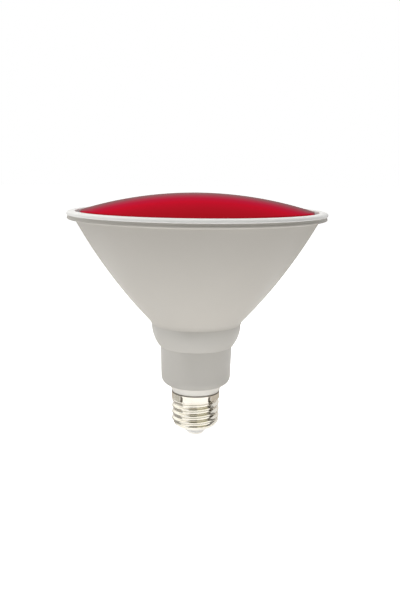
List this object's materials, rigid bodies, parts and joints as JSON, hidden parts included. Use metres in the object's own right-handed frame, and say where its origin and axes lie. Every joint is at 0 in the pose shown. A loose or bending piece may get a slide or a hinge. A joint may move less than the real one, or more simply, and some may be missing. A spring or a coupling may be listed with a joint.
{
  "type": "led par bulb",
  "caption": "Reflector lamp with an LED light source: curved grey cone, rounded rim, domed red lens, stepped neck and an E27 screw cap with a rolled nickel shell.",
  "frame": {"origin": "centre of the contact's flat tip, at the cap's end of the lamp's axis", "axes": "+Z along the lamp's axis from the cap to the lens; the lamp is round about Z, and +X and +Y have no special meaning"},
  "size_m": [0.1383, 0.1382, 0.1343],
  "materials": {
    "cone_grey": "fine satin grain",
    "neck_grey": "smooth satin",
    "cup_white": "smooth satin",
    "bezel_pale": "smooth, slightly glossy",
    "lens_red": "dyed through, lightly frosted",
    "gasket_grey": "soft matt",
    "shell_nickel": "bright nickel plate",
    "contact_metal": "tinned",
    "insulator_white": "smooth",
    "pan_aluminium": "as pressed",
    "board_white": "white solder mask",
    "led_body": "white body, yellow window",
    "screw_steel": "zinc plated",
    "connector_white": "moulded",
    "board_green": "green solder mask",
    "capacitor_sleeve": "shrink sleeve",
    "film_yellow": "moulded",
    "ferrite": "sintered ferrite",
    "coil_tape": "wound tape",
    "chip_black": "moulded",
    "resistor_green": "painted",
    "lead_brown": "insulation",
    "lead_blue": "insulation",
    "lead_red": "insulation",
    "lead_black": "insulation"
  },
  "bodies": {
    "root": {"reflector_housing": "cone_grey", "collar": "neck_grey", "neck_sleeve": "neck_grey", "driver_cup": "cup_white", "bezel_ring": "bezel_pale", "lens": "lens_red", "lens_gasket": "gasket_grey", "screw_shell": "shell_nickel", "centre_contact": "contact_metal", "cap_insulator": "insulator_white", "heat_sink": "pan_aluminium", "led_board": "board_white", "leds": "led_body", "board_screws": "screw_steel", "housing_screws": "screw_steel", "lead_connector": "connector_white", "driver_board": "board_green", "output_capacitor": "capacitor_sleeve", "input_capacitor": "film_yellow", "transformer_core": "ferrite", "transformer_coil": "coil_tape", "driver_chip": "chip_black", "choke": "ferrite", "bridge_rectifier": "chip_black", "fuse_resistor": "resistor_green", "live_lead": "lead_brown", "neutral_lead": "lead_blue", "positive_lead": "lead_red", "negative_lead": "lead_black"}
  },
  "joints": []
}
